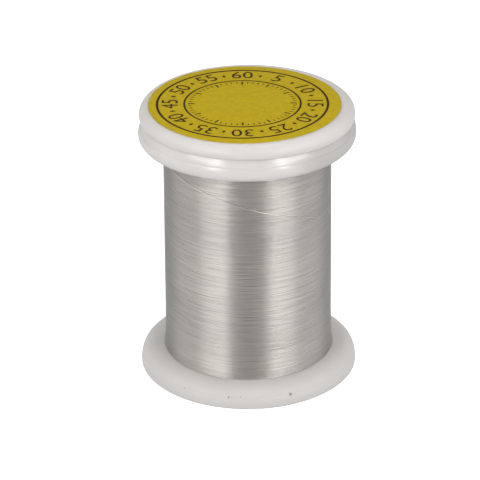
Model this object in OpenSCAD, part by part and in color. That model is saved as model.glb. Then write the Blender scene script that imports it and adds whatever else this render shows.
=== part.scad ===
// Fishing line spool with a snap cap.
// One moulded spool carries the wound line between its two flanges. A round cap plugs into the
// top of its barrel and clicks up and down, so that the loose end of the line can be pinched
// under the cap's rim. A round paper label is stuck to the cap.
// The origin is the centre of the face that it stands on, +Z is up and the front is -Y.

/* [Spool body] */
// Outer radius of the barrel that the line is wound on
barrel_r = 9.6; // [9:0.1:10.4]
// Width of the winding space between the flanges
winding_w = 31.3; // [20:0.5:45]
// Thickness of the moulded walls
wall = 1.2; // [0.9:0.1:1.5]
// Height of the base flange
base_flange_h = 2.85; // [2.5:0.05:3.4]
// Height of the top flange, with the slit over it
top_flange_h = 3.45; // [3:0.05:4]
// Radius of the base flange at the face that it stands on
base_flange_r = 15.3; // [14.6:0.1:18]
// Radius of the flat part of the base flange, where its domed rim begins
base_flat_r = 12.1; // [11.4:0.1:13]
// Radius of the top flange at its widest
top_flange_r = 15; // [14.2:0.1:18]
// How far the hub stands back from the face that the spool stands on
hub_recess = 0.3; // [0.1:0.1:0.6]

/* [Spindle tube] */
// Radius of the bore that a thread holder's spindle enters
spindle_bore_r = 3.5; // [2.5:0.1:4.2]
// Wall of the spindle tube
spindle_wall = 1.1; // [0.8:0.1:1.5]
// Number of ribs between the spindle tube and the barrel
rib_count = 6; // [3:1:8]
// Thickness of a rib
rib_t = 1; // [0.6:0.1:1.4]

/* [Snap cap] */
// Height of the cap above its seat
cap_h = 1.9; // [1.8:0.05:3]
// How much smaller the cap's radius is than the top flange's
cap_inset = 0.17; // [0.05:0.01:0.5]
// Open slit between the cap's rim and the top flange, where the line is pinched
nip_gap = 0.25; // [0.22:0.01:0.4]
// How far the cap lifts
cap_lift = 2.5; // [1.5:0.1:3]
// Length of the cap's stem below its seat
stem_l = 6; // [5.8:0.1:9]
// Wall of the stem
stem_wall = 1; // [0.7:0.1:1.4]
// How far the ledge inside the barrel reaches in
ledge_d = 0.5; // [0.4:0.05:0.8]
// Height of the ledge
ledge_h = 0.8; // [0.6:0.1:1]
// Height of a barb on the stem
barb_h = 0.8; // [0.6:0.1:1]
// Number of slots that split the stem into fingers
slot_count = 4; // [2:1:6]
// Width of a slot
slot_w = 1.6; // [1:0.1:2.4]

/* [Label] */
// Bare margin between the cap's widest radius and the label's edge
label_margin = 1.63; // [1.6:0.05:4]
// Thickness of the paper
label_t = 0.1; // [0.06:0.01:0.2]
// How far to the left of the cap's centre the label is stuck
label_off = 0.32; // [0:0.02:0.4]

/* [Line] */
// Diameter of the line
line_d = 0.15; // [0.12:0.01:0.18]
// Depth of the wound line over the barrel, at the base flange
depth_base = 2.26; // [1.8:0.02:2.4]
// Depth of the wound line over the barrel, at the top flange
depth_top = 2.08; // [1.8:0.02:2.4]
// How much the winding swells where it meets the base flange
swell = 0.25; // [0:0.05:0.4]
// Height over which that swelling fades
swell_h = 0.8; // [0.4:0.1:2]
// Number of turns that show on the outer layer
turns = 24; // [12:1:24]
// Diameter of one of those turns, each a band of many passes of the line
turn_d = 0.8; // [0.6:0.05:0.85]

/* [Hidden] */
$fn = 64;
eps = 0.01;

// Clearances
fit_clear = 0.08;      // the stem in the ledge, radially
barb_clear = 0.15;     // the barbs in the barrel, radially
stop_clear = 0.05;     // a barb under the ledge with the cap fully up
rib_clear = 1;         // the stem's foot above the ribs and the spindle tube
turn_clear = 0.05;     // the turns off the flanges and the core
tail_clear = 0.03;     // the tail off what it lies on
seat_edge = 0.2;       // the cap's seat in from the barrel's bore
rib_drop = 0.5;        // the ribs' tops under the spindle tube's
slot_root = 0.8;       // the slots' roots under the cap's seat

// Heights
winding_z0 = base_flange_h;
winding_z1 = base_flange_h + winding_w;
body_h = winding_z1 + top_flange_h;
rim_top = body_h - nip_gap;
cap_top = body_h + cap_h;
stem_z = body_h - stem_l;
spindle_top = stem_z - rib_clear;
rib_top = spindle_top - rib_drop;
ledge_z = stem_z + barb_h + cap_lift + stop_clear;

// Radii
barrel_bore_r = barrel_r - wall;
ledge_r = barrel_bore_r - ledge_d;
stem_r = ledge_r - fit_clear;
barb_r = barrel_bore_r - barb_clear;
cap_r = top_flange_r - cap_inset;
label_r = cap_r - label_margin;

// Roundings, as [radial, vertical] half axes
dome_power = 2.6;
bead_low = [1.3, 1.45];
bead_high = [0.55, top_flange_h - nip_gap - bead_low[1]];
shoulder = [1.5, 1.4];
cap_foot = [0.45, cap_h - shoulder[1]];
rim_wall = 1.4;
steps_per_mm = 1.8;    // how finely a rounding is cut, for the length of its half axes
least_steps = 3;

// Rounded corner of a half section: a quarter of a superellipse about [r, z], from angle a to b
function corner(c, half, a, b, p = 2) =
    let (steps = max(least_steps, round(norm(half) * steps_per_mm)))
    [for (i = [0 : steps])
        let (t = a + (b - a) * i / steps)
        [c[0] + half[0] * sign(cos(t)) * pow(abs(cos(t)), 2 / p),
         c[1] + half[1] * sign(sin(t)) * pow(abs(sin(t)), 2 / p)]];

// A plain ring or tube on the spool's axis
module ring(r_in, r_out, z0, z1) {
    rotate_extrude() translate([r_in, z0]) square([r_out - r_in, z1 - z0]);
}

// ---------------------------------------------------------------- spool body

// Base flange: a domed dish, hollow underneath, that stands on its sharp rim
module base_flange() {
    dome = corner([base_flat_r, 0], [base_flange_r - base_flat_r, base_flange_h], 0, 90, dome_power);
    rim_in = base_flange_r - wall;
    rotate_extrude() polygon(concat(
        [[rim_in, 0]],
        dome,
        [[barrel_r - wall / 2, base_flange_h],
         [barrel_r - wall / 2, base_flange_h - wall],
         [rim_in, base_flange_h - wall]]));
}

// Top flange: a bead round a shallow dish that the cap covers
module top_flange() {
    bead_r = top_flange_r;
    bead_z = winding_z1 + bead_low[1];
    rim_in = top_flange_r - rim_wall;
    rotate_extrude() polygon(concat(
        [[barrel_r - wall / 2, winding_z1]],
        corner([bead_r - bead_low[0], bead_z], bead_low, -90, 0),
        corner([bead_r - bead_high[0], bead_z], bead_high, 0, 90),
        [[rim_in, rim_top],
         [rim_in, winding_z1 + wall],
         [barrel_r - wall / 2, winding_z1 + wall]]));
}

// Ledge inside the barrel that the cap's barbs click under
module snap_ledge() {
    rotate_extrude() polygon([
        [barrel_bore_r + wall / 2, ledge_z],
        [ledge_r, ledge_z],
        [ledge_r, ledge_z + ledge_h / 2],
        [barrel_bore_r, ledge_z + ledge_h],
        [barrel_bore_r + wall / 2, ledge_z + ledge_h]]);
}

// Ribs that carry the spindle tube in the barrel
module spindle_ribs() {
    rib_in = spindle_bore_r + spindle_wall / 2;
    rib_out = barrel_bore_r + wall / 2;
    for (i = [0 : rib_count - 1])
        rotate([0, 0, i * 360 / rib_count])
            translate([rib_in, -rib_t / 2, hub_recess])
                cube([rib_out - rib_in, rib_t, rib_top - hub_recess]);
}

module spool_body() {
    color([0.88, 0.87, 0.86]) union() {
        ring(barrel_bore_r, barrel_r, hub_recess, body_h);
        base_flange();
        top_flange();
        snap_ledge();
        ring(spindle_bore_r, spindle_bore_r + spindle_wall, hub_recess, spindle_top);
        spindle_ribs();
    }
}

// ------------------------------------------------------------------ snap cap

// Round lid with a beaded rim, which overhangs the slit where the line is pinched
module cap_lid() {
    rim_in = cap_r - rim_wall;
    mid_z = cap_top - shoulder[1];
    rotate_extrude() polygon(concat(
        [[0, cap_top - wall],
         [rim_in, cap_top - wall],
         [rim_in, body_h]],
        corner([cap_r - cap_foot[0], mid_z], cap_foot, -90, 0),
        corner([cap_r - shoulder[0], mid_z], shoulder, 0, 90),
        [[0, cap_top]]));
}

// Stem with its barbs, before it is slotted
module stem_tube() {
    stem_in = stem_r - stem_wall;
    rotate_extrude() polygon([
        [stem_in, stem_z],
        [stem_r, stem_z],
        [barb_r, stem_z + barb_h * 0.6],
        [barb_r, stem_z + barb_h],
        [stem_r, stem_z + barb_h],
        [stem_r, cap_top - wall / 2],
        [stem_in, cap_top - wall / 2]]);
}

// Slots that let the fingers spring in as they pass the ledge
module stem_slots() {
    for (i = [0 : slot_count - 1])
        rotate([0, 0, (i + 0.5) * 360 / slot_count])
            translate([stem_r / 2, -slot_w / 2, stem_z - eps])
                cube([stem_r, slot_w, stem_l - slot_root + eps]);
}

module snap_cap() {
    color([0.9, 0.89, 0.88]) union() {
        cap_lid();
        ring(barrel_bore_r + seat_edge, barrel_r, body_h, cap_top - wall / 2);
        difference() {
            stem_tube();
            stem_slots();
        }
    }
}

// Round paper label, stuck a little off centre
module top_label() {
    color([0.76, 0.68, 0.13])
        translate([-label_off, 0, cap_top]) cylinder(r = label_r, h = label_t);
}

// ---------------------------------------------------------------------- line

// Radius of the winding's surface at height z: a slight taper, and a swell at the base flange
function winding_r(z) =
    let (u = (z - winding_z0) / winding_w)
    barrel_r + depth_base + (depth_top - depth_base) * u + swell * exp(-(z - winding_z0) / swell_h);

// Turns of the outer layer: one unbroken tube, of 24 rings a loop and 6 sides
turn_rings = 24;
turn_sides = 6;
turn_flat = turn_d / 2 * cos(180 / turn_sides);
turn_z0 = winding_z0 + turn_clear + turn_d / 2;
turn_pitch = (winding_w - 2 * turn_clear - turn_d) / turns;
function turn_r(z) = winding_r(z) - turn_d / 2;

// Inner layers: a plain core that the chords of the outer turns just clear
core_heights = concat([for (k = [0, 1, 2, 4]) winding_z0 + k * swell_h], [winding_z1]);
function core_r(z) = turn_r(z) * cos(180 / turn_rings) - turn_flat - turn_clear;

// Point at radius r, height z and angle a from the front, clockwise from above
function at(r, a, z) = [-r * sin(a), -r * cos(a), z];
function unit(v) = v / norm(v);

// The helix, from the back, with a straight run of one tube diameter at each end
turn_start_deg = 180;
turn_count = turns * turn_rings;
function turn_point(i) =
    let (z = turn_z0 + turn_pitch * i / turn_rings)
    at(turn_r(z), turn_start_deg + i * 360 / turn_rings, z);
turn_first = turn_point(0) + turn_d * unit(turn_point(0) - turn_point(1));
turn_last = turn_point(turn_count) + turn_d * unit(turn_point(turn_count) - turn_point(turn_count - 1));
turn_path = concat([turn_first], [for (i = [0 : turn_count]) turn_point(i)], [turn_last]);

// Least gap of the tube to itself: between rings half a loop or more apart
turn_gap = min([for (i = [0 : turn_count - turn_rings * 3 / 2])
    for (j = [i + turn_rings / 2 : i + turn_rings * 3 / 2])
        norm(turn_path[i] - turn_path[j])]) - turn_d;
echo(str("least gap of the outer turns to themselves, mm: ", turn_gap));

// Tube along a path: rings of points square to it, none of which may run straight up
function ring_points(path, i, r, sides) =
    let (n = len(path) - 1,
         along = unit(path[min(i + 1, n)] - path[max(i - 1, 0)]),
         side = unit(cross(along, [0, 0, 1])),
         up = cross(side, along))
    [for (k = [0 : sides - 1])
        let (t = k * 360 / sides)
        path[i] + r * (up * cos(t) + side * sin(t))];

module tube(path, r, sides) {
    n = len(path);
    points = [for (i = [0 : n - 1]) each ring_points(path, i, r, sides)];
    walls = [for (i = [0 : n - 2]) for (k = [0 : sides - 1])
        let (a = i * sides + k, b = i * sides + (k + 1) % sides)
        each [[a, b, a + sides], [b, b + sides, a + sides]]];
    ends = [for (k = [1 : sides - 2])
        each [[0, k + 1, k], [(n - 1) * sides, (n - 1) * sides + k, (n - 1) * sides + k + 1]]];
    polyhedron(points = points, faces = concat(walls, ends), convexity = 10);
}

module line_core() {
    color([0.6, 0.59, 0.56]) rotate_extrude() polygon(concat(
        [[barrel_r, winding_z0]],
        [for (z = core_heights) [core_r(z), z]],
        [[barrel_r, winding_z1]]));
}

module line_outer_turns() {
    color([0.7, 0.69, 0.66]) tube(turn_path, turn_d / 2, turn_sides);
}

// ---------------------------------------------------------------- line tail

// The last of the line rises out of the winding, crosses the front, leaves the left side at a
// tangent and goes round the top flange's bead into the slit under the cap's rim. Angles are
// from the front, clockwise from above.
tail_start_deg = -150;     // where it rises between two turns
tail_leave_deg = 70;       // where it leaves the winding
tail_crest_deg = 95;       // where its climb over the winding would end
tail_crest_drop = 1.55; // how far under the top flange that would be
tail_drift_deg = 12;       // how far round it creeps as it climbs the bead
tail_free = 0.8;       // its cut end, past the slit
tail_lead = 0.15;      // where it straightens, past the bead's crest
tail_bend = 0.3;       // radius of the bend where it rises out of the winding
tail_touch_deg = -60;      // where it meets the bead, as an angle of the bead's low rounding
tail_steps = 34;
tail_sides = 6;
tail_seat = line_d / 2 + tail_clear;
tail_turns = floor(turns * 0.6);
tail_z0 = turn_z0 + turn_pitch * (tail_turns + 0.5 + (tail_start_deg - turn_start_deg + 360) / 360);
tail_z1 = winding_z1 - tail_crest_drop;

// Smooth step from 0 to 1
function ease(u) = u * u * (3 - 2 * u);
function tail_z(a) =
    tail_z0 + (tail_z1 - tail_z0) * ease((a - tail_start_deg) / (tail_crest_deg - tail_start_deg));
function tail_r(z) = winding_r(z) + tail_seat;

// Out of the winding, straight off the core and over into its run
tail_rise = concat(
    [at(core_r(tail_z0) + tail_clear, tail_start_deg, tail_z0)],
    [for (t = [0 : 30 : 90])
        let (r = tail_r(tail_z0), b = tail_bend)
        at(r - b + b * sin(t), tail_start_deg + b * (1 - cos(t)) / r * 180 / PI, tail_z0)]);

// Across the winding
tail_over = [for (i = [1 : tail_steps])
    let (a = tail_start_deg + (tail_leave_deg - tail_start_deg) * i / tail_steps)
    at(tail_r(tail_z(a)), a, tail_z(a))];

// A point off the bead's rounding, by the tail's seat
function off_bead(half, t, a) =
    let (n = unit([cos(t) / half[0], sin(t) / half[1]]))
    at(top_flange_r - half[0] + half[0] * cos(t) + tail_seat * n[0], a,
       winding_z1 + bead_low[1] + half[1] * sin(t) + tail_seat * n[1]);

// The taut, straight stretch from the winding to the bead
tail_from = at(tail_r(tail_z(tail_leave_deg)), tail_leave_deg, tail_z(tail_leave_deg));
tail_touch_r = norm([for (i = [0 : 1]) off_bead(bead_low, tail_touch_deg, 0)[i]]);
tail_reach = tail_leave_deg + acos(tail_r(tail_z(tail_leave_deg)) / tail_touch_r);
tail_to = off_bead(bead_low, tail_touch_deg, tail_reach);
tail_span = [for (u = [0.25 : 0.25 : 1]) tail_from + (tail_to - tail_from) * u];

// Up the bead, creeping round, and straight in through the slit
tail_step_deg = 15;
tail_crown_deg = 75;       // the last angle on the bead's high rounding
function creep(t) = tail_reach + tail_drift_deg * (t - tail_touch_deg) / (90 - tail_touch_deg);
tail_climb = concat(
    [for (t = [tail_touch_deg + tail_step_deg : tail_step_deg : 0]) off_bead(bead_low, t, creep(t))],
    [for (t = [tail_step_deg : tail_step_deg : tail_crown_deg]) off_bead(bead_high, t, creep(t))]);
tail_in = [for (r = [top_flange_r - bead_high[0] - tail_lead, top_flange_r - rim_wall,
                     top_flange_r - rim_wall - tail_free])
    at(r, creep(90), rim_top + nip_gap / 2)];

module line_tail() {
    color([0.8, 0.79, 0.76])
        tube(concat(tail_rise, tail_over, tail_span, tail_climb, tail_in), line_d / 2, tail_sides);
}

spool_body();
snap_cap();
top_label();
line_core();
line_outer_turns();
line_tail();
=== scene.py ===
import math

import bmesh
import bpy
from mathutils import Matrix, Vector


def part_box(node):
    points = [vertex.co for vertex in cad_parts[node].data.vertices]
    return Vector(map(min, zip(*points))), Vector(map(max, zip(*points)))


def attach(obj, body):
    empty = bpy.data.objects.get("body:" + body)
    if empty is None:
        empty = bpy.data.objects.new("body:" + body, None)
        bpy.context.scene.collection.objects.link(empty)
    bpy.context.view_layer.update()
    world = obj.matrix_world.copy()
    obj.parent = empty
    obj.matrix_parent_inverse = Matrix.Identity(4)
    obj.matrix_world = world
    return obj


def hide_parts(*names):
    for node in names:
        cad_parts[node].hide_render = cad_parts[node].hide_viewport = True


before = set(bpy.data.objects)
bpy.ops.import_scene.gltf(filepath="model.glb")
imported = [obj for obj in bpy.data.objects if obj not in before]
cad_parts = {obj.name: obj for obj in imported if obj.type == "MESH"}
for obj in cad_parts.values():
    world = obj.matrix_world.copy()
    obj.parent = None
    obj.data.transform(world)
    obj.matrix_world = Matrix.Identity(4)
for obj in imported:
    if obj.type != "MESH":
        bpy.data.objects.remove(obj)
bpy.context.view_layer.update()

mm = 0.001
scene = bpy.context.scene


# ---------------------------------------------------------------- table, light and camera
# The spool stands on a white table in a white room, between pairs of lamps, screens and boards,
# with a broad soft light over it. The camera looks down on it from the front.

camera_place = Vector((-1.1, -315.0, 175.0)) * mm
camera_down = math.radians(26.405)
camera_roll = math.radians(-0.46)
lens_mm = 187.9
light_aim = Vector((0.0, 0.0, 0.02))
side_distance = 0.6
lamp_height = 0.22
lamp_size = (0.15, 0.44)
screen_height = 0.32
screen_size = (0.24, 0.45)
board_height = 0.3
board_size = (0.5, 0.7)
room_glow = 0.28
table_half = 2.0
table_grey = 0.62
table_glow = 0.75

camera_data = bpy.data.cameras.new("camera")
camera_data.lens = lens_mm
camera_data.sensor_width = 36.0
camera_data.clip_start = 0.01
camera = bpy.data.objects.new("camera", camera_data)
camera.location = camera_place
camera.rotation_mode = "QUATERNION"
camera_turn = (Matrix.Rotation(math.pi / 2 - camera_down, 3, "X")
               @ Matrix.Rotation(camera_roll, 3, "Z"))
camera.rotation_quaternion = camera_turn.to_quaternion()
scene.collection.objects.link(camera)
scene.camera = camera
scene.view_settings.view_transform = "Standard"


def soft_light(name, bearing, height, size, power, distance=side_distance):
    """An area light aimed at the spool: bearing in degrees right of the front, lengths in metres."""
    angle = math.radians(bearing)
    place = Vector((distance * math.sin(angle), -distance * math.cos(angle), height))
    data = bpy.data.lights.new(name, "AREA")
    data.shape = "RECTANGLE"
    data.size, data.size_y = size
    data.energy = power
    light = bpy.data.objects.new(name, data)
    light.location = place
    light.rotation_mode = "QUATERNION"
    light.rotation_quaternion = (light_aim - place).to_track_quat("-Z", "Y")
    scene.collection.objects.link(light)


soft_light("lamp_left", -34.0, lamp_height, lamp_size, power=1.02)
soft_light("lamp_right", 35.5, lamp_height, lamp_size, power=0.98)
soft_light("screen_left", -55.0, screen_height, screen_size, power=1.0)
soft_light("screen_right", 56.0, screen_height, screen_size, power=1.05)
soft_light("board_left", -92.0, board_height, board_size, power=0.72)
soft_light("board_right", 94.0, board_height, board_size, power=0.74)
soft_light("light_above", 180.0, height=0.9, size=(0.7, 0.7), power=2.1, distance=0.12)

world = bpy.data.worlds.new("white_room")
world.use_nodes = True
room = world.node_tree.nodes["Background"]
room.inputs["Color"].default_value = (1.0, 1.0, 1.0, 1.0)
room.inputs["Strength"].default_value = room_glow
scene.world = world


def add(tree, kind, inputs=(), **settings):
    """Adds a node with its settings, and sets or links its inputs by index or name."""
    made = tree.nodes.new(kind)
    for key, value in settings.items():
        setattr(made, key, value)
    for key, value in dict(inputs).items():
        if isinstance(value, bpy.types.NodeSocket):
            tree.links.new(value, made.inputs[key])
        else:
            made.inputs[key].default_value = value
    return made


def maths(tree, operation, a, b=0.0, c=0.0):
    """A maths node's result."""
    return add(tree, "ShaderNodeMath", {0: a, 1: b, 2: c}, operation=operation).outputs[0]


def principled(name, values):
    """A material whose shader has these values, with that shader and the node tree."""
    material = bpy.data.materials.new(name)
    material.use_nodes = True
    tree = material.node_tree
    shader = tree.nodes["Principled BSDF"]
    for socket, value in values.items():
        shader.inputs[socket].default_value = value
    return material, shader, tree


table_mesh = bpy.data.meshes.new("table")
table_mesh.from_pydata(
    [(-table_half, -table_half, 0), (table_half, -table_half, 0),
     (table_half, table_half, 0), (-table_half, table_half, 0)], [], [(0, 1, 2, 3)])
table = bpy.data.objects.new("table", table_mesh)
scene.collection.objects.link(table)
table_white, table_shader, table_tree = principled("table_white", {
    "Base Color": (table_grey, table_grey, table_grey, 1.0), "Roughness": 0.8,
    "Emission Color": (1.0, 1.0, 1.0, 1.0)})
seen = add(table_tree, "ShaderNodeLightPath").outputs["Is Camera Ray"]
table_tree.links.new(maths(table_tree, "MULTIPLY", seen, table_glow),
                     table_shader.inputs["Emission Strength"])
table_mesh.materials.append(table_white)


# ---------------------------------------------------------------- spool body
# One moulding of milky polyethylene: a barrel with a domed base flange and a beaded top flange,
# both hollow, and inside the barrel a spindle tube on six ribs and the ledge that the cap's
# barbs click under. All of it but the ribs is turned from two half sections.

_, body_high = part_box("spool_body")
line_low, line_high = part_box("line_core")
cap_low, cap_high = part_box("snap_cap")
base_r = body_high.x / mm
body_top = body_high.z / mm
winding_low = line_low.z / mm
winding_high = line_high.z / mm
cap_r = cap_high.x / mm
cap_top = cap_high.z / mm
stem_foot = cap_low.z / mm

# Walls, how round their corners are, and the steps in a full turn
wall = 1.2
rim_wall = 1.4
fillet = 0.3
blunt_edge = 0.15
edge = 0.12
fine_edge = 0.1
ledge_edge = 0.08
around = 192

# Barrel and base flange. A fine moulding line is cut in the flange's dome, after point groove_at.
barrel_r = 9.6
bore_r = barrel_r - wall
hub_foot = 0.3
base_flat_r = 12.1
dome_power = 2.6
dome_steps = 24
groove_at = 9
groove_depth = 0.05
groove_top = 0.4
groove_bottom = 0.5
# Height over the barrel's foot up to which the base flange takes its rougher plastic, with painted
# shade in its colour.
base_shade_and_finish_over = 0.5

# Top flange: a bead, a waist over it, and a lip that rises from the waist to the cap
top_r = 15.0
nip_gap = 0.25
rim_top = body_top - nip_gap
bead_round = 1.3
bead_crown = (2.6, 1.77)
bead_crown_end = 28
crease = 0.02
lip_curve = 2.4
lip_start = 10.0
lip_depth = 1.0
lip_right = 0.43
lip_spread = 4
pinch_spread = 8
snug_gap = 0.005
droop = 0.05
inner_margin = 0.01
flange_margin = 0.05

# Snap ledge, spindle tube and ribs
cap_lift = 2.5
barb_h = 0.8
stop_clear = 0.05
ledge_depth = 0.5
ledge_z = stem_foot + barb_h + cap_lift + stop_clear
ledge_r = bore_r - ledge_depth
ledge_h = 0.8
spindle_r = 3.5
spindle_wall = 1.1
stem_room = 1.0
spindle_top = stem_foot - stem_room
spindle_steps = 96
rib_count = 6
rib_t = 1.0
rib_lift = 0.05
rib_drop = 0.5


def arc(centre, half, start, end, power=2.0, steps=14):
    """Points of a superellipse about (r, z), with half axes half, between two angles in degrees."""
    points = []
    for i in range(steps + 1):
        t = math.radians(start + (end - start) * i / steps)
        c, s = math.cos(t), math.sin(t)
        points.append((centre[0] + half[0] * math.copysign(abs(c) ** (2 / power), c),
                       centre[1] + half[1] * math.copysign(abs(s) ** (2 / power), s)))
    return points


def eased(corners, steps=4):
    """An outline's corners (r, z, radius), each rounded off; a corner (r, z) stays sharp."""
    points = []
    count = len(corners)
    for i, corner in enumerate(corners):
        here = Vector(corner[:2])
        radius = corner[2] if len(corner) > 2 else 0.0
        to_last = Vector(corners[i - 1][:2]) - here
        to_next = Vector(corners[(i + 1) % count][:2]) - here
        if radius <= 0:
            points.append(tuple(here))
            continue
        half = to_last.angle(to_next) / 2
        reach = min(radius / math.tan(half), to_last.length / 2, to_next.length / 2)
        start = here + to_last.normalized() * reach
        end = here + to_next.normalized() * reach
        for k in range(steps + 1):
            u = k / steps
            points.append(tuple(start * (1 - u) ** 2 + here * 2 * u * (1 - u) + end * u ** 2))
    return points


def turned(shape, outline, start=0.0, sweep=360.0, steps=around):
    """Adds the solid that the outline, in mm, makes as it turns about the spool's axis."""
    on_axis = 1e-6
    whole = sweep >= 360.0
    rings = []
    for k in range(steps if whole else steps + 1):
        angle = math.radians(start + sweep * k / steps)
        rings.append([shape.verts.new((r * math.cos(angle) * mm, r * math.sin(angle) * mm, z * mm))
                      for r, z in outline])
    count = len(outline)
    for k in range(steps):
        a, b = rings[k], rings[(k + 1) % len(rings)]
        for i in range(count):
            j = (i + 1) % count
            if outline[i][0] < on_axis and outline[j][0] < on_axis:
                continue
            shape.faces.new((a[i], b[i], b[j], a[j]))
    if not whole:
        shape.faces.new(rings[0])
        shape.faces.new(list(reversed(rings[-1])))


def block(shape, low, high, bearing):
    """Adds a box to the bmesh, in mm, turned about the spool's axis."""
    made = bmesh.ops.create_cube(shape, size=1.0)["verts"]
    size = [h - l for l, h in zip(low, high)]
    middle = [(h + l) / 2 for l, h in zip(low, high)]
    place = (Matrix.Rotation(math.radians(bearing), 4, "Z")
             @ Matrix.Translation(Vector(middle) * mm)
             @ Matrix.Diagonal((size[0] * mm, size[1] * mm, size[2] * mm, 1.0)))
    bmesh.ops.transform(shape, matrix=place, verts=made)


def piece_from(name, shape, material, body, smooth=35.0):
    """Closes the bmesh into a named piece that rides on a CAD body."""
    bmesh.ops.remove_doubles(shape, verts=shape.verts, dist=1e-8)
    bmesh.ops.recalc_face_normals(shape, faces=shape.faces)
    mesh = bpy.data.meshes.new(name)
    shape.to_mesh(mesh)
    shape.free()
    mesh.shade_smooth()
    mesh.set_sharp_from_angle(angle=math.radians(smooth))
    mesh.materials.append(material)
    piece = bpy.data.objects.new(name, mesh)
    scene.collection.objects.link(piece)
    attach(piece, body)
    return piece


def node_group(name, kind, inputs, outputs):
    """A node group with named sockets, and its input and output nodes' sockets."""
    tree = bpy.data.node_groups.new(name, kind)
    for label, socket in inputs:
        tree.interface.new_socket(label, in_out="INPUT", socket_type=socket)
    for label, socket in outputs:
        tree.interface.new_socket(label, in_out="OUTPUT", socket_type=socket)
    given = tree.nodes.new("NodeGroupInput").outputs
    gives = tree.nodes.new("NodeGroupOutput").inputs
    return tree, given, gives


def low_spots(tree, noise, strength):
    """How far a surface darkens where the noise is low."""
    low = add(tree, "ShaderNodeMapRange", {"Value": noise, "From Min": 0.3, "From Max": 0.7,
                                           "To Min": 1.0, "To Max": 0.0})
    return maths(tree, "MULTIPLY", low.outputs[0], strength)


def darkened(tree, colour, depth):
    """The colour taken part of the way to black."""
    black = (0.0, 0.0, 0.0, 1.0)
    mixed = add(tree, "ShaderNodeMix", {"A": colour, "Factor": depth, "B": black}, data_type="RGBA")
    return mixed.outputs["Result"]


def moulded_skin():
    """Shader group: a moulded skin's cloudy colour, with painted shade high on its right side, its
    gloss and ripple.
    """
    # Painted shade lies high on the right side, between these x and z in mm.
    shade_from_x, shade_to_x = 5.0, 10.0
    shade_from_z, shade_to_z = 33.0, 34.0
    ripple_height = 0.05
    tree, given, gives = node_group(
        "moulded_skin", "ShaderNodeTree",
        [("Colour", "NodeSocketColor"), ("Cloudy", "NodeSocketFloat"),
         ("Gloss low", "NodeSocketFloat"), ("Gloss high", "NodeSocketFloat"),
         ("Ripple", "NodeSocketFloat"), ("Painted side shade", "NodeSocketFloat")],
        [("Colour", "NodeSocketColor"), ("Roughness", "NodeSocketFloat"),
         ("Normal", "NodeSocketVector")])
    place = add(tree, "ShaderNodeTexCoord").outputs["Object"]
    cloud = add(tree, "ShaderNodeTexNoise",
                {"Vector": place, "Scale": 160.0, "Detail": 3.0}).outputs["Fac"]
    axes = add(tree, "ShaderNodeSeparateXYZ", {0: place})
    side = add(tree, "ShaderNodeMapRange",
               {"Value": axes.outputs[0], "From Min": shade_from_x * mm, "From Max": shade_to_x * mm},
               interpolation_type="SMOOTHSTEP")
    aloft = add(tree, "ShaderNodeMapRange",
                {"Value": axes.outputs[2], "From Min": shade_from_z * mm, "From Max": shade_to_z * mm})
    # Painted shade: there the colour goes towards black by the given amount, on top of the cloudy
    # spots.
    side_shade = maths(tree, "MULTIPLY", side.outputs[0], aloft.outputs[0])
    depth = maths(tree, "MULTIPLY_ADD", side_shade, given["Painted side shade"],
                  low_spots(tree, cloud, given["Cloudy"]))
    sheen = add(tree, "ShaderNodeMapRange", {"Value": cloud, "To Min": given["Gloss low"],
                                             "To Max": given["Gloss high"]})
    ripple = add(tree, "ShaderNodeTexNoise", {"Vector": place, "Scale": 900.0, "Detail": 2.0})
    bump = add(tree, "ShaderNodeBump", {"Strength": given["Ripple"], "Distance": ripple_height * mm,
                                        "Height": ripple.outputs["Fac"]})
    tree.links.new(darkened(tree, given["Colour"], depth), gives["Colour"])
    tree.links.new(sheen.outputs[0], gives["Roughness"])
    tree.links.new(bump.outputs[0], gives["Normal"])
    return tree


skin = moulded_skin()


def milky_plastic(name, colour, roughness, shine, painted_side_shade=0.0):
    """Satin polyethylene, which lets light sink in a little. Roughness is a low and a high value; the
    last argument is painted shade high on the right side.
    """
    light_depth = 0.9
    material, shader, tree = principled(name, {
        "Subsurface Weight": 0.9, "Subsurface Radius": (1.0, 0.95, 0.9),
        "Subsurface Scale": light_depth * mm, "IOR": 1.5, "Specular IOR Level": shine})
    made = add(tree, "ShaderNodeGroup", {
        "Colour": tuple(colour) + (1.0,), "Cloudy": 0.035, "Gloss low": roughness[0],
        "Gloss high": roughness[1], "Ripple": 0.12, "Painted side shade": painted_side_shade}, node_tree=skin)
    tree.links.new(made.outputs["Colour"], shader.inputs["Base Color"])
    tree.links.new(made.outputs["Roughness"], shader.inputs["Roughness"])
    tree.links.new(made.outputs["Normal"], shader.inputs["Normal"])
    return material


# Painted shade darkens the spool's top flange on its right side.
spool_white = milky_plastic("spool_polyethylene", (0.705, 0.68, 0.661),
                            roughness=(0.17, 0.25), shine=1.0, painted_side_shade=0.2)
# Painted shade: the base flange takes a rougher copy of the spool's plastic, its colour darker for
# the less light that reaches it low down.
base_white_painted_shade = milky_plastic("base_polyethylene_painted_shade", (0.637, 0.611, 0.592),
                           roughness=(0.55, 0.65), shine=0.5)

base_dome = arc((base_flat_r, edge), (base_r - base_flat_r, winding_low - edge), 0, 90,
                dome_power, dome_steps)
(groove_r, groove_z), (_, next_z) = base_dome[groove_at - 1:groove_at + 1]
groove = [(groove_r, groove_z + (next_z - groove_z) * groove_top),
          (groove_r - groove_depth, groove_z + (next_z - groove_z) * groove_bottom)]
base_dome[groove_at:groove_at] = groove

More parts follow.
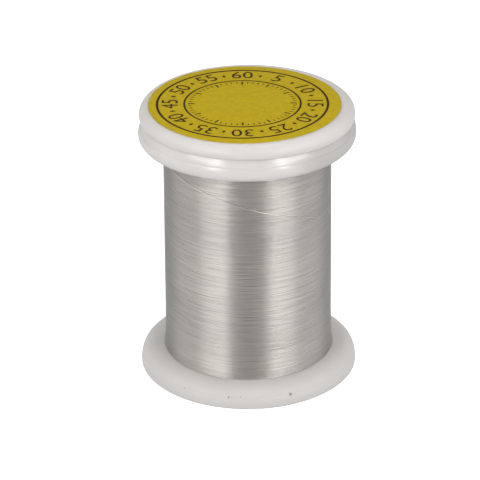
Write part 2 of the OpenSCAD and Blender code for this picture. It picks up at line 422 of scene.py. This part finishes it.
bead_z = winding_high + bead_round
bead_bottom = arc((top_r - bead_round, bead_z), (bead_round, bead_round), -90, 0)
bead_top = arc((top_r - bead_crown[0], bead_z), bead_crown, 0, bead_crown_end, steps=8)
waist_r, waist_z = bead_top[-1]
lip_rise = (rim_top - waist_z - crease) / lip_curve + math.sin(math.radians(lip_start))
lip_centre = (waist_r + crease - lip_curve * math.cos(math.radians(lip_start)),
              waist_z + crease - lip_curve * math.sin(math.radians(lip_start)))
lip = arc(lip_centre, (lip_curve, lip_curve), lip_start, math.degrees(math.asin(lip_rise)), steps=10)

body_section = eased(
    [(base_r - wall, 0.0, blunt_edge), (base_r - edge, 0.0, fine_edge)] + base_dome
    + [(barrel_r, winding_low), (barrel_r, winding_high)] + bead_bottom + bead_top + lip
    + [(top_r - rim_wall, rim_top, fine_edge), (top_r - rim_wall, winding_high + wall, fillet),
       (barrel_r, winding_high + wall, fillet), (barrel_r, body_top, edge),
       (bore_r, body_top, edge), (bore_r, ledge_z + ledge_h),
       (ledge_r, ledge_z + ledge_h / 2, fine_edge), (ledge_r, ledge_z, ledge_edge),
       (bore_r, ledge_z), (bore_r, hub_foot, edge), (barrel_r, hub_foot, edge),
       (barrel_r, winding_low - wall, fillet), (base_r - wall, winding_low - wall, fillet)])

tail_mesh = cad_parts["line_tail"].data
tail_points = [v.co for v in tail_mesh.vertices if v.co.z > rim_top * mm]
tail_bearing = math.atan2(sum(p.y for p in tail_points), sum(p.x for p in tail_points))

# The lip comes up snug under the cap, but for the side where the line is pinched. It draws in
# most on the left, where the bead sags a little.
shape = bmesh.new()
turned(shape, body_section)
for point in shape.verts:
    r, z = math.hypot(point.co.x, point.co.y) / mm, point.co.z / mm
    if r < top_r - rim_wall - inner_margin or z < winding_high + flange_margin:
        continue
    bearing = math.atan2(point.co.y, point.co.x)
    pinch = ((1 + math.cos(bearing - tail_bearing)) / 2) ** pinch_spread
    if z > bead_z and r > top_r - lip_depth:
        drawn_in = lip_right + (1 - lip_right) * ((1 - math.cos(bearing)) / 2) ** lip_spread
        outward = min(top_r - r, top_r - waist_r) * (1 - drawn_in) / r
        point.co.x *= 1 + outward
        point.co.y *= 1 + outward
    if z > bead_z:
        z += (nip_gap - snug_gap) * (1 - pinch) * (z - bead_z) / (rim_top - bead_z)
    middle = math.sin(math.pi * min(1.0, (z - winding_high) / (rim_top - winding_high)))
    point.co.z = (z - droop * (1 - math.cos(bearing)) * middle) * mm
spindle_section = eased([
    (spindle_r, hub_foot, blunt_edge), (spindle_r + spindle_wall, hub_foot, blunt_edge),
    (spindle_r + spindle_wall, spindle_top, blunt_edge), (spindle_r, spindle_top, blunt_edge)])
turned(shape, spindle_section, steps=spindle_steps)
for i in range(rib_count):
    block(shape, (spindle_r + spindle_wall / 2, -rib_t / 2, hub_foot + rib_lift),
          (bore_r + wall / 2, rib_t / 2, spindle_top - rib_drop), i * 360 / rib_count)
spool = piece_from("spool_moulding", shape, spool_white, "spool")
# The darker base plastic, which is painted shade, goes on the faces low on the spool.
spool.data.materials.append(base_white_painted_shade)
for face in spool.data.polygons:
    if face.center.z < (winding_low + base_shade_and_finish_over) * mm:
        face.material_index = 1
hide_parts("spool_body")

# Dark flecks in the base flange: degrees to the right of the front, height and radius.
flecks = ((22.4, 1.6, 0.17), (-11.0, 1.67, 0.12), (-4.6, 1.79, 0.07), (-36.8, 1.66, 0.07))
fleck_grey, _, _ = principled("fleck_grey", {
    "Base Color": (0.26, 0.24, 0.22, 1.0), "Roughness": 0.7})
shape = bmesh.new()
for bearing, z, radius in flecks:
    height = ((z - edge) / (winding_low - edge)) ** dome_power
    r = base_flat_r + (base_r - base_flat_r) * (1 - height) ** (1 / dome_power)
    angle = math.radians(bearing)
    place = Vector((r * math.sin(angle), -r * math.cos(angle), z)) * mm
    made = bmesh.ops.create_icosphere(shape, subdivisions=2, radius=radius * mm)["verts"]
    bmesh.ops.translate(shape, vec=place, verts=made)
spots = piece_from("spool_flecks", shape, fleck_grey, "spool")


# ---------------------------------------------------------------- snap cap
# A second moulding: a round lid with a beaded rim, a ring that seats on the barrel's end, and a
# stem split into four fingers whose barbs catch the ledge when the cap is pulled up.

cap_white = milky_plastic("cap_polyethylene", (0.682, 0.657, 0.635),
                          roughness=(0.34, 0.42), shine=0.5)
shoulder_w = 1.5
shoulder_h = 1.4
shoulder_z = cap_top - shoulder_h
foot_inset = 0.4
foot_angle = 45.0
seat_edge = 0.2
stem_clear = 0.08
barb_clear = 0.15
stem_r = ledge_r - stem_clear
stem_wall = 1.0
barb_r = bore_r - barb_clear
barb_lead = 0.6
barb_edge = 0.04
slot_count = 4
slot_w = 1.6
slot_root = 0.8
slot_overlap = 0.1
finger_steps = 24


def arc_to(centre, reach, end):
    """Points of an ellipse that starts reach[0] out at its side and is reach[1] high at angle end."""
    return arc(centre, (reach[0], reach[1] / math.sin(math.radians(end))), 0, end)


lid_foot = arc_to((cap_r - foot_inset, shoulder_z), (foot_inset, body_top - shoulder_z), foot_angle)
lid_section = eased(
    [(0.0, cap_top - wall), (cap_r - rim_wall, cap_top - wall, fillet),
     (cap_r - rim_wall, body_top, edge)]
    + lid_foot[::-1]
    + arc((cap_r - shoulder_w, shoulder_z), (shoulder_w, cap_top - shoulder_z), 0, 90)
    + [(0.0, cap_top)])
seat_section = eased(
    [(bore_r + seat_edge, body_top, fine_edge), (barrel_r, body_top, fine_edge),
     (barrel_r, cap_top - wall / 2), (bore_r + seat_edge, cap_top - wall / 2)])
root_section = [(stem_r - stem_wall, body_top - slot_root), (stem_r, body_top - slot_root),
                (stem_r, cap_top - wall / 2), (stem_r - stem_wall, cap_top - wall / 2)]
finger_section = eased(
    [(stem_r - stem_wall, stem_foot, fine_edge), (stem_r, stem_foot, fine_edge),
     (barb_r, stem_foot + barb_h * barb_lead, fine_edge), (barb_r, stem_foot + barb_h, barb_edge),
     (stem_r, stem_foot + barb_h), (stem_r, body_top - slot_root + slot_overlap),
     (stem_r - stem_wall, body_top - slot_root + slot_overlap)])

shape = bmesh.new()
for section in (lid_section, seat_section, root_section):
    turned(shape, section)
slot_angle = math.degrees(slot_w / stem_r)
finger_step = 360 / slot_count
for i in range(slot_count):
    turned(shape, finger_section, (i - 0.5) * finger_step + slot_angle / 2,
           finger_step - slot_angle, finger_steps)
cap = piece_from("cap_moulding", shape, cap_white, "cap")
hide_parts("snap_cap")


# ---------------------------------------------------------------- label
# A round of mustard yellow paper, die cut and stuck a little off the cap's centre. It is printed
# in dark brown with a plain dial: two rings, figures between them and ticks inside.

label_low, label_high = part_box("top_label")
label_x = (label_low.x + label_high.x) / 2 / mm
label_y = -0.3
label_r = (label_high.x - label_low.x) / 2 / mm
label_top = label_high.z / mm
paper_edge = 0.04
ink_t = 0.012
paper_top = label_top - ink_t
print_shift = 0.29
print_x = label_x - print_shift
print_y = -0.3
ring_outer_r = 11.68
ring_inner_r = 7.96
ring_outer_line = 0.32
ring_inner_line = 0.26
ring_steps = 160
figure_count = 12
figure_step = 5
figure_size = 3.2
figure_r = (ring_outer_r + ring_inner_r) / 2
diamond_half = (0.26, 0.42)
tick_head = 7.45
tick_short = 0.5
tick_long = 0.9
tick_line = 0.14
tick_half_short = 0.5
tick_half_long = 0.85


def paper_fibre():
    """Shader group: the fibres of paper in its colour and skin."""
    fibre_height = 0.02
    tree, given, gives = node_group(
        "paper_fibre", "ShaderNodeTree",
        [("Colour", "NodeSocketColor"), ("Mottle", "NodeSocketFloat")],
        [("Colour", "NodeSocketColor"), ("Normal", "NodeSocketVector")])
    place = add(tree, "ShaderNodeTexCoord").outputs["Object"]
    fibre = add(tree, "ShaderNodeTexNoise",
                {"Vector": place, "Scale": 1400.0, "Detail": 4.0}).outputs["Fac"]
    depth = low_spots(tree, fibre, given["Mottle"])
    bump = add(tree, "ShaderNodeBump",
               {"Strength": 0.15, "Distance": fibre_height * mm, "Height": fibre})
    tree.links.new(darkened(tree, given["Colour"], depth), gives["Colour"])
    tree.links.new(bump.outputs[0], gives["Normal"])
    return tree


fibres = paper_fibre()


def paper(name, colour):
    """Printed paper."""
    material, shader, tree = principled(name, {"Roughness": 0.55, "Specular IOR Level": 0.2})
    made = add(tree, "ShaderNodeGroup", {"Colour": tuple(colour) + (1.0,), "Mottle": 0.15},
               node_tree=fibres)
    tree.links.new(made.outputs["Colour"], shader.inputs["Base Color"])
    tree.links.new(made.outputs["Normal"], shader.inputs["Normal"])
    return material


label_yellow = paper("label_yellow", (0.55, 0.402, 0.004))
ink_brown = paper("ink_brown", (0.034, 0.014, 0.001))

shape = bmesh.new()
turned(shape, eased([(0.0, cap_top), (label_r, cap_top), (label_r, paper_top, paper_edge),
                     (0.0, paper_top)]))
bmesh.ops.translate(shape, vec=(label_x * mm, label_y * mm, 0), verts=shape.verts)
label = piece_from("label_paper", shape, label_yellow, "cap")
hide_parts("top_label")


def figure(shape, words, bearing):
    """Adds figures to the bmesh, with their heads outward, at a bearing on the dial."""
    curve = bpy.data.curves.new("figure", "FONT")
    curve.body = words
    curve.size = figure_size * mm
    curve.align_x = "CENTER"
    curve.align_y = "CENTER"
    curve.extrude = ink_t / 2 * mm
    curve.resolution_u = 3
    text = bpy.data.objects.new("figure", curve)
    scene.collection.objects.link(text)
    bpy.context.view_layer.update()
    flat = text.evaluated_get(bpy.context.evaluated_depsgraph_get())
    mesh = bpy.data.meshes.new_from_object(flat)
    place = (Matrix.Translation(Vector((print_x, print_y, paper_top + ink_t / 2)) * mm)
             @ Matrix.Rotation(math.radians(-bearing), 4, "Z")
             @ Matrix.Translation((0, figure_r * mm, 0)))
    mesh.transform(place)
    shape.from_mesh(mesh)
    bpy.data.objects.remove(text)
    bpy.data.curves.remove(curve)
    bpy.data.meshes.remove(mesh)


def print_ring(shape, radius, width):
    """Adds a printed ring to the bmesh."""
    made = bmesh.new()
    inner, outer = radius - width / 2, radius + width / 2
    turned(made, [(inner, paper_top), (outer, paper_top), (outer, label_top), (inner, label_top)],
           steps=ring_steps)
    bmesh.ops.translate(made, vec=Vector((print_x, print_y, 0)) * mm, verts=made.verts)
    mesh = bpy.data.meshes.new("ring")
    made.to_mesh(mesh)
    made.free()
    shape.from_mesh(mesh)
    bpy.data.meshes.remove(mesh)


def mark(shape, corners, bearing):
    """Adds a printed patch. Its corners, in mm from the dial's centre, turn to a bearing."""
    turn = Matrix.Rotation(math.radians(-bearing), 4, "Z")
    centre = Vector((print_x, print_y, 0))
    low, high = [[shape.verts.new((turn @ Vector((x, y, z)) + centre) * mm) for x, y in corners]
                 for z in (paper_top, label_top)]
    shape.faces.new(list(reversed(low)))
    shape.faces.new(high)
    for i in range(len(corners)):
        j = (i + 1) % len(corners)
        shape.faces.new((low[i], low[j], high[j], high[i]))


shape = bmesh.new()
print_ring(shape, ring_outer_r, ring_outer_line)
print_ring(shape, ring_inner_r, ring_inner_line)
across, along = diamond_half
diamond = [(-across, figure_r), (0, figure_r - along), (across, figure_r), (0, figure_r + along)]
for i in range(figure_count):
    bearing = (i + 1) * 360 / figure_count
    figure(shape, str((i + 1) * figure_step), bearing)
    mark(shape, diamond, bearing + 180 / figure_count)
for i in range(figure_count * figure_step):
    is_long = i % figure_step == 0
    half = tick_line * (tick_half_long if is_long else tick_half_short)
    foot = tick_head - (tick_long if is_long else tick_short)
    mark(shape, [(-half, foot), (half, foot), (half, tick_head), (-half, tick_head)],
         i * 360 / (figure_count * figure_step))
ink = piece_from("label_print", shape, ink_brown, "cap")


# ---------------------------------------------------------------- wound line
# Fine clear nylon line, wound tight and not quite level, so that its turns bunch, part and climb
# over one another. Its outer layer is one helix that wanders, laid by geometry nodes in two runs
# that meet half way up. Under it lies a plain core.

line_d = 0.15
line_sides = 6
surface_low = 11.86
surface_high = 11.68
swell = 0.25
swell_h = 0.8
lift_room = 0.08
core_sunk = 0.2
core_rings = 24
all_turns = 208
# Not a whole number, so that the steps of one turn don't line up with the next one's
steps_per_turn = 127.625


def wander_noise(tree, x, y, z, seed, detail=0.0):
    """Smooth noise from -1 to 1 at a point."""
    point = add(tree, "ShaderNodeCombineXYZ", {0: x, 1: y, 2: z}).outputs[0]
    noise = add(tree, "ShaderNodeTexNoise",
                {"Vector": point, "W": seed, "Scale": 1.0, "Detail": detail},
                noise_dimensions="4D").outputs[0]
    return maths(tree, "MULTIPLY_ADD", noise, 2.0, -1.0)


def winding_tree():
    """Geometry nodes that lay a run of turns of one strand on the spool. Lengths are in metres."""
    reach, fine_reach = 2.0, 5.0
    own_step, crowd_step = 0.13 * mm, 0.4 * mm
    tone_seed, ridge_seed, lift_seed = 2.1, 4.1, 7.3
    ridge_in_lift, own_in_tone = 0.4, 0.5
    numbers = ("All turns", "First turn", "Turns", "Steps per turn", "Low", "High", "Radius low",
               "Radius high", "Swell", "Swell height", "Line radius", "Wander", "Bunching", "Lift",
               "Seed")
    tree, given, gives = node_group(
        "lay_line", "GeometryNodeTree",
        [(name, "NodeSocketFloat") for name in numbers]
        + [("Sides", "NodeSocketInt"), ("Material", "NodeSocketMaterial")],
        [("Geometry", "NodeSocketGeometry")])

    # A line with a point for each step, and where each point is along the winding
    count = maths(tree, "MULTIPLY_ADD", given["Turns"], given["Steps per turn"], 1.0)
    line = add(tree, "GeometryNodeCurvePrimitiveLine")
    path = add(tree, "GeometryNodeResampleCurve", {"Curve": line.outputs[0], "Count": count})
    index = tree.nodes.new("GeometryNodeInputIndex").outputs[0]
    turn = maths(tree, "DIVIDE", index, given["Steps per turn"])
    turn = maths(tree, "ADD", turn, given["First turn"])
    along = maths(tree, "DIVIDE", turn, given["All turns"])
    angle = maths(tree, "MULTIPLY", turn, 2 * math.pi)
    x = maths(tree, "SINE", angle)
    y = maths(tree, "COSINE", angle)
    rise = maths(tree, "SUBTRACT", given["High"], given["Low"])
    level = maths(tree, "MULTIPLY_ADD", along, rise, given["Low"])

    # Each strand drifts by itself and bunches with its neighbours
    x_near, y_near = maths(tree, "MULTIPLY", x, reach), maths(tree, "MULTIPLY", y, reach)
    own = maths(tree, "DIVIDE", level, own_step)
    crowd = maths(tree, "DIVIDE", level, crowd_step)
    drift = wander_noise(tree, x_near, y_near, own, given["Seed"], 1.0)
    drift = maths(tree, "MULTIPLY", drift, given["Wander"])
    bunch = wander_noise(tree, x_near, y_near, crowd, given["Seed"], 1.0)
    bunch = maths(tree, "MULTIPLY", bunch, given["Bunching"])
    height = maths(tree, "ADD", maths(tree, "ADD", level, drift), bunch)
    height = maths(tree, "MAXIMUM", maths(tree, "MINIMUM", height, given["High"]), given["Low"])

    # The surface tapers, swells at the base flange, and rises where strands climb
    ridge = wander_noise(tree, x_near, y_near, crowd, ridge_seed)
    x_fine = maths(tree, "MULTIPLY", x, fine_reach)
    y_fine = maths(tree, "MULTIPLY", y, fine_reach)
    lift = maths(tree, "MULTIPLY_ADD", ridge, ridge_in_lift,
                 wander_noise(tree, x_fine, y_fine, own, lift_seed))
    lift = maths(tree, "MULTIPLY", lift, given["Lift"])
    taper = maths(tree, "SUBTRACT", given["Radius high"], given["Radius low"])
    radius = maths(tree, "MULTIPLY_ADD", along, taper, given["Radius low"])
    fade = maths(tree, "DIVIDE", maths(tree, "SUBTRACT", given["Low"], height),
                 given["Swell height"])
    radius = maths(tree, "MULTIPLY_ADD", maths(tree, "EXPONENT", fade), given["Swell"], radius)
    radius = maths(tree, "ADD", radius, lift)
    place = add(tree, "ShaderNodeCombineXYZ", {0: maths(tree, "MULTIPLY", x, radius),
                                               1: maths(tree, "MULTIPLY", y, radius), 2: height})
    laid = add(tree, "GeometryNodeSetPosition",
               {"Geometry": path.outputs[0], "Position": place.outputs[0]})

    # Each strand keeps its own tone, and is then given its thickness
    tone = maths(tree, "MULTIPLY_ADD", wander_noise(tree, x_near, y_near, own, tone_seed),
                 own_in_tone, ridge)
    toned = add(tree, "GeometryNodeStoreNamedAttribute",
                {"Geometry": laid.outputs[0], "Name": "tone", "Value": tone},
                data_type="FLOAT", domain="POINT")
    round_line = add(tree, "GeometryNodeCurvePrimitiveCircle",
                     {"Resolution": given["Sides"], "Radius": given["Line radius"]})
    tube = add(tree, "GeometryNodeCurveToMesh",
               {"Curve": toned.outputs[0], "Profile Curve": round_line.outputs[0],
                "Fill Caps": True})
    smooth = add(tree, "GeometryNodeSetShadeSmooth",
                 {"Geometry": tube.outputs[0], "Shade Smooth": True})
    real = add(tree, "GeometryNodeRealizeInstances", {"Geometry": smooth.outputs[0]})
    coated = add(tree, "GeometryNodeSetMaterial",
                 {"Geometry": real.outputs[0], "Material": given["Material"]})
    tree.links.new(coated.outputs[0], gives[0])
    return tree


def nylon(name, dark, light):
    """Clear nylon many layers deep, which glints like grey metal. Each strand has its own tone."""
    material, shader, tree = principled(name, {
        "Roughness": 0.34, "IOR": 1.53, "Metallic": 1.0, "Coat Weight": 0.4,
        "Coat Roughness": 0.15})
    own = add(tree, "ShaderNodeAttribute", attribute_name="tone").outputs["Fac"]
    spread = add(tree, "ShaderNodeMapRange", {"Value": own, "From Min": -0.5, "From Max": 0.5})
    tint = add(tree, "ShaderNodeMix", {"A": tuple(dark) + (1.0,), "B": tuple(light) + (1.0,),
                                       "Factor": spread.outputs[0]}, data_type="RGBA")
    tree.links.new(tint.outputs["Result"], shader.inputs["Base Color"])
    return material


def grown(name, tree, values, body):
    """A piece made by a geometry nodes tree, as a plain mesh that rides on a CAD body."""
    holder = bpy.data.objects.new(name, bpy.data.meshes.new(name))
    scene.collection.objects.link(holder)
    modifier = holder.modifiers.new("lay", "NODES")
    modifier.node_group = tree
    for socket in tree.interface.items_tree:
        if socket.in_out == "INPUT" and socket.name in values:
            modifier[socket.identifier] = values[socket.name]
    bpy.context.view_layer.update()
    made = holder.evaluated_get(bpy.context.evaluated_depsgraph_get())
    mesh = bpy.data.meshes.new_from_object(made)
    mesh.name = name
    holder.modifiers.remove(modifier)
    holder.data = mesh
    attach(holder, body)
    return holder


clear_line = nylon("clear_nylon", (0.575, 0.557, 0.527), (0.63, 0.611, 0.578))
lay_line = winding_tree()
for name, first in (("line_outer_lower", 0), ("line_outer_upper", all_turns / 2)):
    outer = grown(name, lay_line, {
        "All turns": float(all_turns), "First turn": float(first),
        "Turns": all_turns / 2, "Steps per turn": steps_per_turn,
        "Low": (winding_low + line_d / 2) * mm, "High": (winding_high - line_d / 2) * mm,
        "Radius low": (surface_low - line_d / 2 - lift_room) * mm,
        "Radius high": (surface_high - line_d / 2 - lift_room) * mm,
        "Swell": swell * mm, "Swell height": swell_h * mm,
        "Line radius": line_d / 2 * mm, "Sides": line_sides,
        "Wander": 0.025 * mm, "Bunching": 0.045 * mm, "Lift": 0.01 * mm,
        "Seed": 1.7, "Material": clear_line}, "spool")
    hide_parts("line_outer_turns")

core_surface = [(barrel_r, winding_low)]
for i in range(core_rings + 1):
    z = winding_low + (winding_high - winding_low) * (i / core_rings) ** 2
    taper = (surface_high - surface_low) * (z - winding_low) / (winding_high - winding_low)
    puff = swell * math.exp(-(z - winding_low) / swell_h)
    core_surface.append((surface_low + taper + puff - core_sunk, z))
core_surface.append((barrel_r, winding_high))
shape = bmesh.new()
turned(shape, core_surface)
core = piece_from("line_inner_layers", shape, clear_line, "spool")
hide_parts("line_core")

# The loose end keeps the CAD model's path, but lies down on the strands that it crosses and, low
# on the winding, sinks in between them.
tail_sink = 0.13
sink_end_r = 12.7
sink_fade = 0.6
bury_depth = 0.08
bury_from_z = 27.5
bury_fade = 2.5
tone_swing = 0.5
tone_waves = 3.0

# Painted light: the loose end is a lighter copy of the wound line's nylon, for the light it catches
# as it crosses the winding.
loose_line_painted_light = nylon("loose_nylon_painted_light", (0.62, 0.6, 0.57), (0.74, 0.72, 0.69))
shape = bmesh.new()
shape.from_mesh(tail_mesh)
bmesh.ops.remove_doubles(shape, verts=shape.verts, dist=1e-7)
tone_layer = shape.verts.layers.float.new("tone")
for point in shape.verts:
    r = math.hypot(point.co.x, point.co.y) / mm
    buried = bury_depth * min(1.0, max(0.0, (bury_from_z - point.co.z / mm) / bury_fade))
    sink = (tail_sink + buried) * min(1.0, max(0.0, (sink_end_r - r) / sink_fade)) / r
    point.co.x *= 1 - sink
    point.co.y *= 1 - sink
    point[tone_layer] = tone_swing * math.sin(tone_waves * point.co.z / mm)
tail = piece_from("line_loose_end", shape, loose_line_painted_light, "spool", smooth=60.0)
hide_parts("line_tail")
